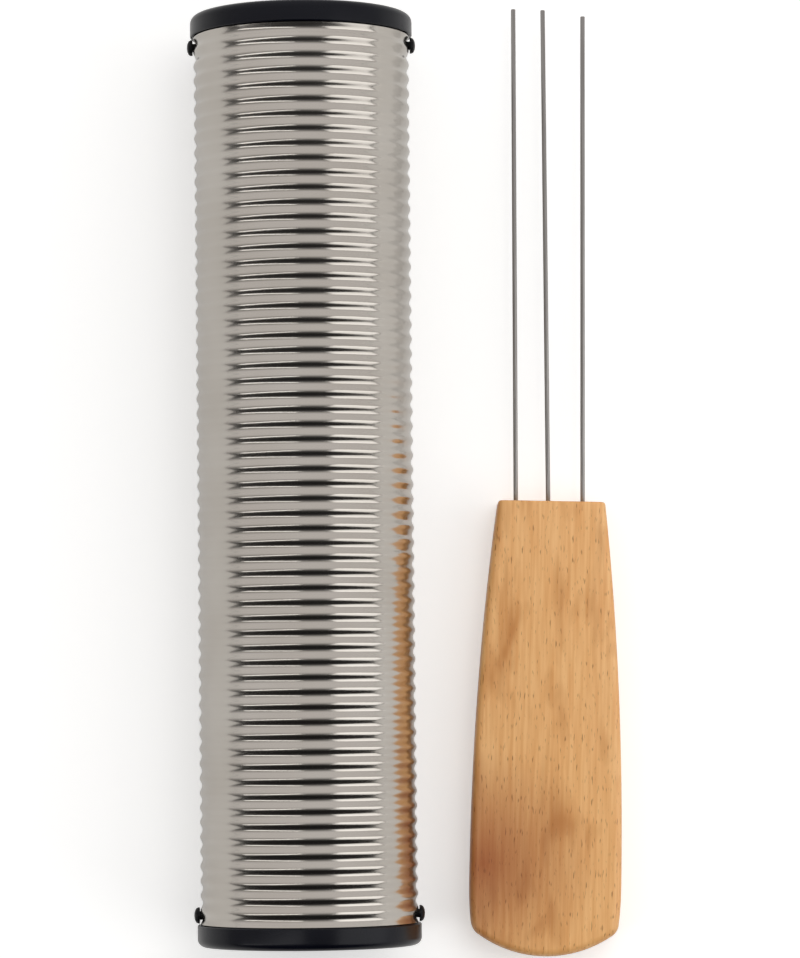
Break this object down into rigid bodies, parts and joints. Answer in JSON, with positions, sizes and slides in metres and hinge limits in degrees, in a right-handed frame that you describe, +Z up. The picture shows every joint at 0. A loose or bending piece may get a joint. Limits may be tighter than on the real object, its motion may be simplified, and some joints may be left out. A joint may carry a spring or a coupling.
{
  "type": "metal guiro with scraper",
  "caption": "Ridged steel scraping tube with moulded end caps screwed on, and a flat tapered wooden scraper with straight wire tines laid beside it.",
  "frame": {"origin": "centre of the whole object's box at the surface that it lies on", "axes": "+Y along the tube, from the scraper's butt end to its tines; +Z up from the surface; +X from the tube to the scraper"},
  "size_m": [0.1388, 0.3118, 0.072],
  "materials": {
    "stainless_steel": "polished, turned ridges",
    "black_plastic": "semi-gloss moulded",
    "black_screw_steel": "black oxide",
    "lacquered_beech": "satin lacquer",
    "spring_wire": "drawn wire"
  },
  "bodies": {
    "guiro": {"ribbed_tube": "stainless_steel", "top_end_cap": "black_plastic", "bottom_end_cap": "black_plastic", "top_left_cap_screw": "black_screw_steel", "top_right_cap_screw": "black_screw_steel", "bottom_left_cap_screw": "black_screw_steel", "bottom_right_cap_screw": "black_screw_steel"},
    "scraper": {"scraper_handle": "lacquered_beech", "left_tine": "spring_wire", "middle_tine": "spring_wire", "right_tine": "spring_wire"}
  },
  "joints": [
    {"name": "scraper_lift", "type": "slide", "parent": "guiro", "child": "scraper", "axis": [0, 0, 1], "range_m": [0, 0.1]}
  ]
}
